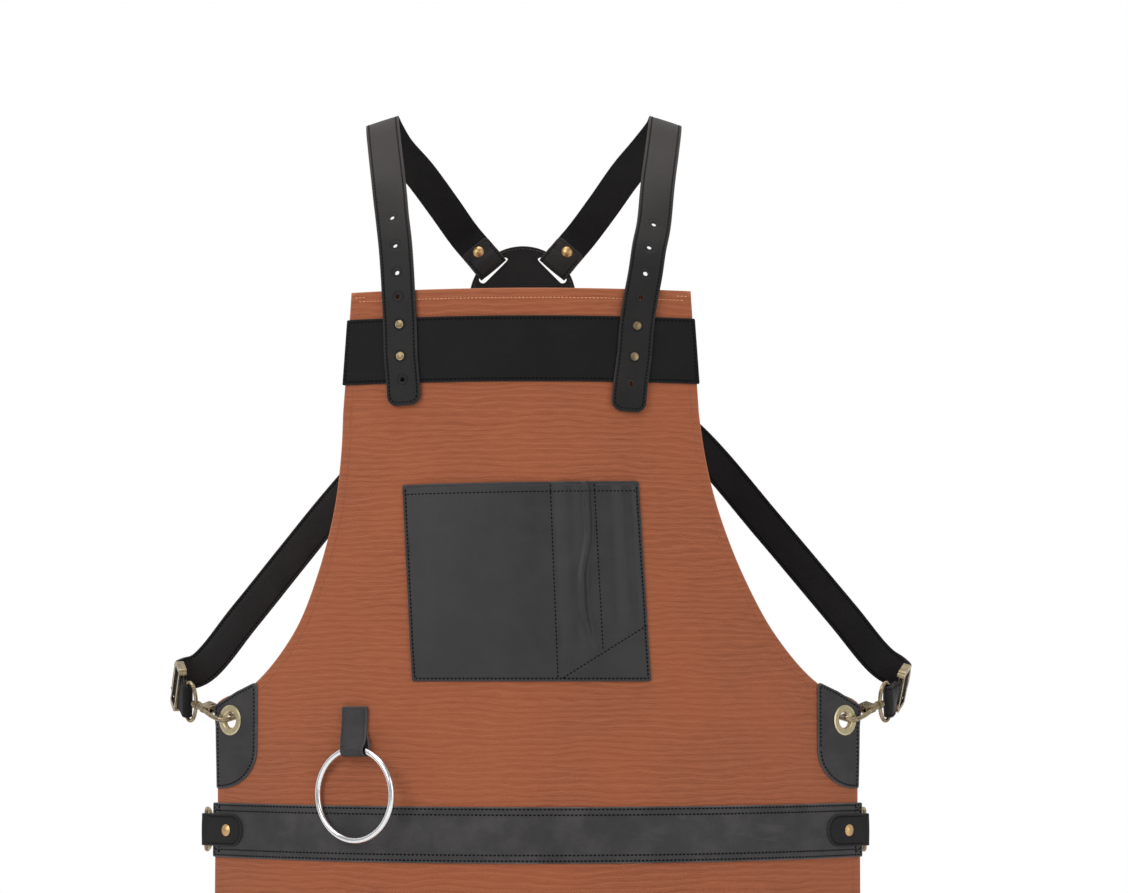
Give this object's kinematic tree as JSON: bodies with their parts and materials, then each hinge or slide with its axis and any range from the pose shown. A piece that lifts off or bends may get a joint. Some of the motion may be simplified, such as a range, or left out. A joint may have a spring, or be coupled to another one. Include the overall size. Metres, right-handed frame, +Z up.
{
  "type": "cross-back apron",
  "caption": "Canvas work apron with leather bands, chest pocket, towel ring and leather straps that cross at a back disc and clip on with snap hooks.",
  "frame": {"origin": "midway between the undersides of the tops of the two shoulder straps, 103 mm behind the front of the panel", "axes": "+X across the front to the right as it faces the viewer, +Y from the front panel to the back disc, +Z up"},
  "size_m": [0.7578, 0.2478, 1.0401],
  "materials": {
    "canvas": "rust twill canvas",
    "leather": "black full-grain leather",
    "pocket_leather": "charcoal smooth leather",
    "strap_leather": "black leather, flesh side inward",
    "old_brass": "antique brass",
    "bright_brass": "polished brass cap",
    "steel": "polished steel",
    "spring_steel": "spring wire"
  },
  "bodies": {
    "apron": {"canvas_panel": "canvas", "chest_band": "leather", "waist_band": "leather", "side_patch_left": "leather", "side_patch_right": "leather", "pocket": "pocket_leather", "ring_loop": "leather", "tab_left": "leather", "tab_right": "leather", "shoulder_strap_left": "strap_leather", "shoulder_strap_right": "strap_leather", "back_disc": "leather", "back_strap_left": "strap_leather", "back_strap_right": "strap_leather", "stud_posts": "old_brass", "stud_screws": "old_brass", "strap_rivet_caps": "bright_brass", "strap_rivet_posts": "old_brass", "tab_rivet_caps": "bright_brass", "tab_rivet_posts": "old_brass", "grommet_left": "old_brass", "grommet_right": "old_brass", "washer_left": "old_brass", "washer_right": "old_brass"},
    "eye_left": {"eye_left": "old_brass"},
    "hook_left": {"claw_left": "old_brass", "gate_pin_left": "old_brass", "gate_spring_left": "spring_steel"},
    "gate_left": {"gate_left": "old_brass"},
    "slider_left": {"slider_left": "old_brass"},
    "d_ring_left": {"d_ring_left": "old_brass"},
    "eye_right": {"eye_right": "old_brass"},
    "hook_right": {"claw_right": "old_brass", "gate_pin_right": "old_brass", "gate_spring_right": "spring_steel"},
    "gate_right": {"gate_right": "old_brass"},
    "slider_right": {"slider_right": "old_brass"},
    "d_ring_right": {"d_ring_right": "old_brass"},
    "towel_ring": {"towel_ring": "steel"}
  },
  "joints": [
    {"name": "eye_swing_left", "type": "hinge", "parent": "apron", "child": "eye_left", "pos_m": [-0.33995, 0.04232, -0.5797], "axis": [0.0604, -0.3783, 0.9237], "range_deg": [-1.3, 1.3]},
    {"name": "hook_swivel_left", "type": "hinge", "parent": "eye_left", "child": "hook_left", "pos_m": [-0.32946, 0.034, -0.5838], "axis": [-0.7492, 0.5943, 0.2924], "range_deg": [-2, 15]},
    {"name": "gate_open_left", "type": "hinge", "parent": "hook_left", "child": "gate_left", "pos_m": [-0.31286, 0.02946, -0.58674], "axis": [-0.0604, 0.3783, -0.9237], "range_deg": [0, 5], "stiffness_Nm_per_rad": 0.05, "springref_deg": -17.19},
    {"name": "slider_slide_left", "type": "slide", "parent": "apron", "child": "slider_left", "axis": [-0.2999, 0.7998, 0.5199], "range_m": [-0.003, 0.005]},
    {"name": "d_ring_swing_left", "type": "hinge", "parent": "apron", "child": "d_ring_left", "pos_m": [-0.31762, 0.02491, -0.708], "axis": [0, 0, 1], "range_deg": [-38, 120]},
    {"name": "eye_swing_right", "type": "hinge", "parent": "apron", "child": "eye_right", "pos_m": [0.36795, 0.04232, -0.5797], "axis": [-0.0604, -0.3783, 0.9237], "range_deg": [-1.3, 1.3]},
    {"name": "hook_swivel_right", "type": "hinge", "parent": "eye_right", "child": "hook_right", "pos_m": [0.35746, 0.034, -0.5838], "axis": [-0.7492, -0.5943, -0.2924], "range_deg": [-2, 15]},
    {"name": "gate_open_right", "type": "hinge", "parent": "hook_right", "child": "gate_right", "pos_m": [0.34086, 0.02946, -0.58674], "axis": [-0.0604, -0.3783, 0.9237], "range_deg": [0, 5], "stiffness_Nm_per_rad": 0.05, "springref_deg": -17.19},
    {"name": "slider_slide_right", "type": "slide", "parent": "apron", "child": "slider_right", "axis": [0.4192, 0.7585, 0.499], "range_m": [-0.003, 0.005]},
    {"name": "d_ring_swing_right", "type": "hinge", "parent": "apron", "child": "d_ring_right", "pos_m": [0.34079, 0.02055, -0.708], "axis": [0, 0, 1], "range_deg": [-120, 38]},
    {"name": "towel_ring_swing", "type": "hinge", "parent": "apron", "child": "towel_ring", "pos_m": [-0.1615, -0.08449, -0.627], "axis": [-0.8434, 0.5373, 0], "range_deg": [0, 100]}
  ]
}
